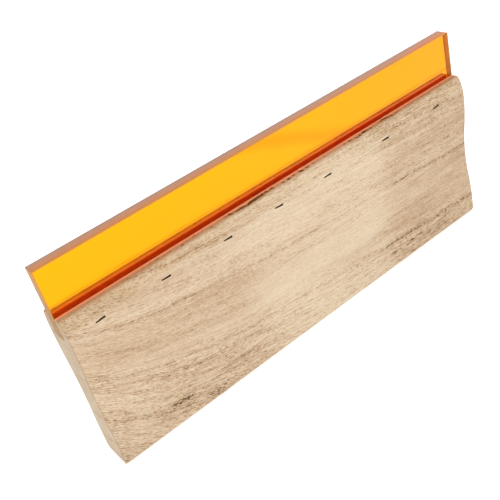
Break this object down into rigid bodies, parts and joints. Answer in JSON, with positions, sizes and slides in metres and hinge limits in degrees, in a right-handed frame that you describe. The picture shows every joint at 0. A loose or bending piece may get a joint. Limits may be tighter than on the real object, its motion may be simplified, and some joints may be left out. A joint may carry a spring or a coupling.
{
  "type": "screen printing squeegee",
  "caption": "Hand squeegee for screen printing: a long waisted wooden handle with a clear amber urethane blade in a slot along its top, held by sunk staples.",
  "frame": {"origin": "centre of the handle's flat butt, the middle of the part's box at its base", "axes": "+X along the blade, -Y out of the stapled face, +Z from the butt up to the blade's working edge"},
  "size_m": [0.33, 0.028, 0.1445],
  "materials": {
    "wood": "bare, sanded smooth",
    "urethane": "clear amber, glossy, cut square",
    "steel_wire": "dull, slightly browned"
  },
  "bodies": {
    "root": {"handle": "wood", "blade": "urethane", "staple_1": "steel_wire", "staple_2": "steel_wire", "staple_3": "steel_wire", "staple_4": "steel_wire", "staple_5": "steel_wire", "staple_6": "steel_wire", "staple_7": "steel_wire"}
  },
  "joints": []
}
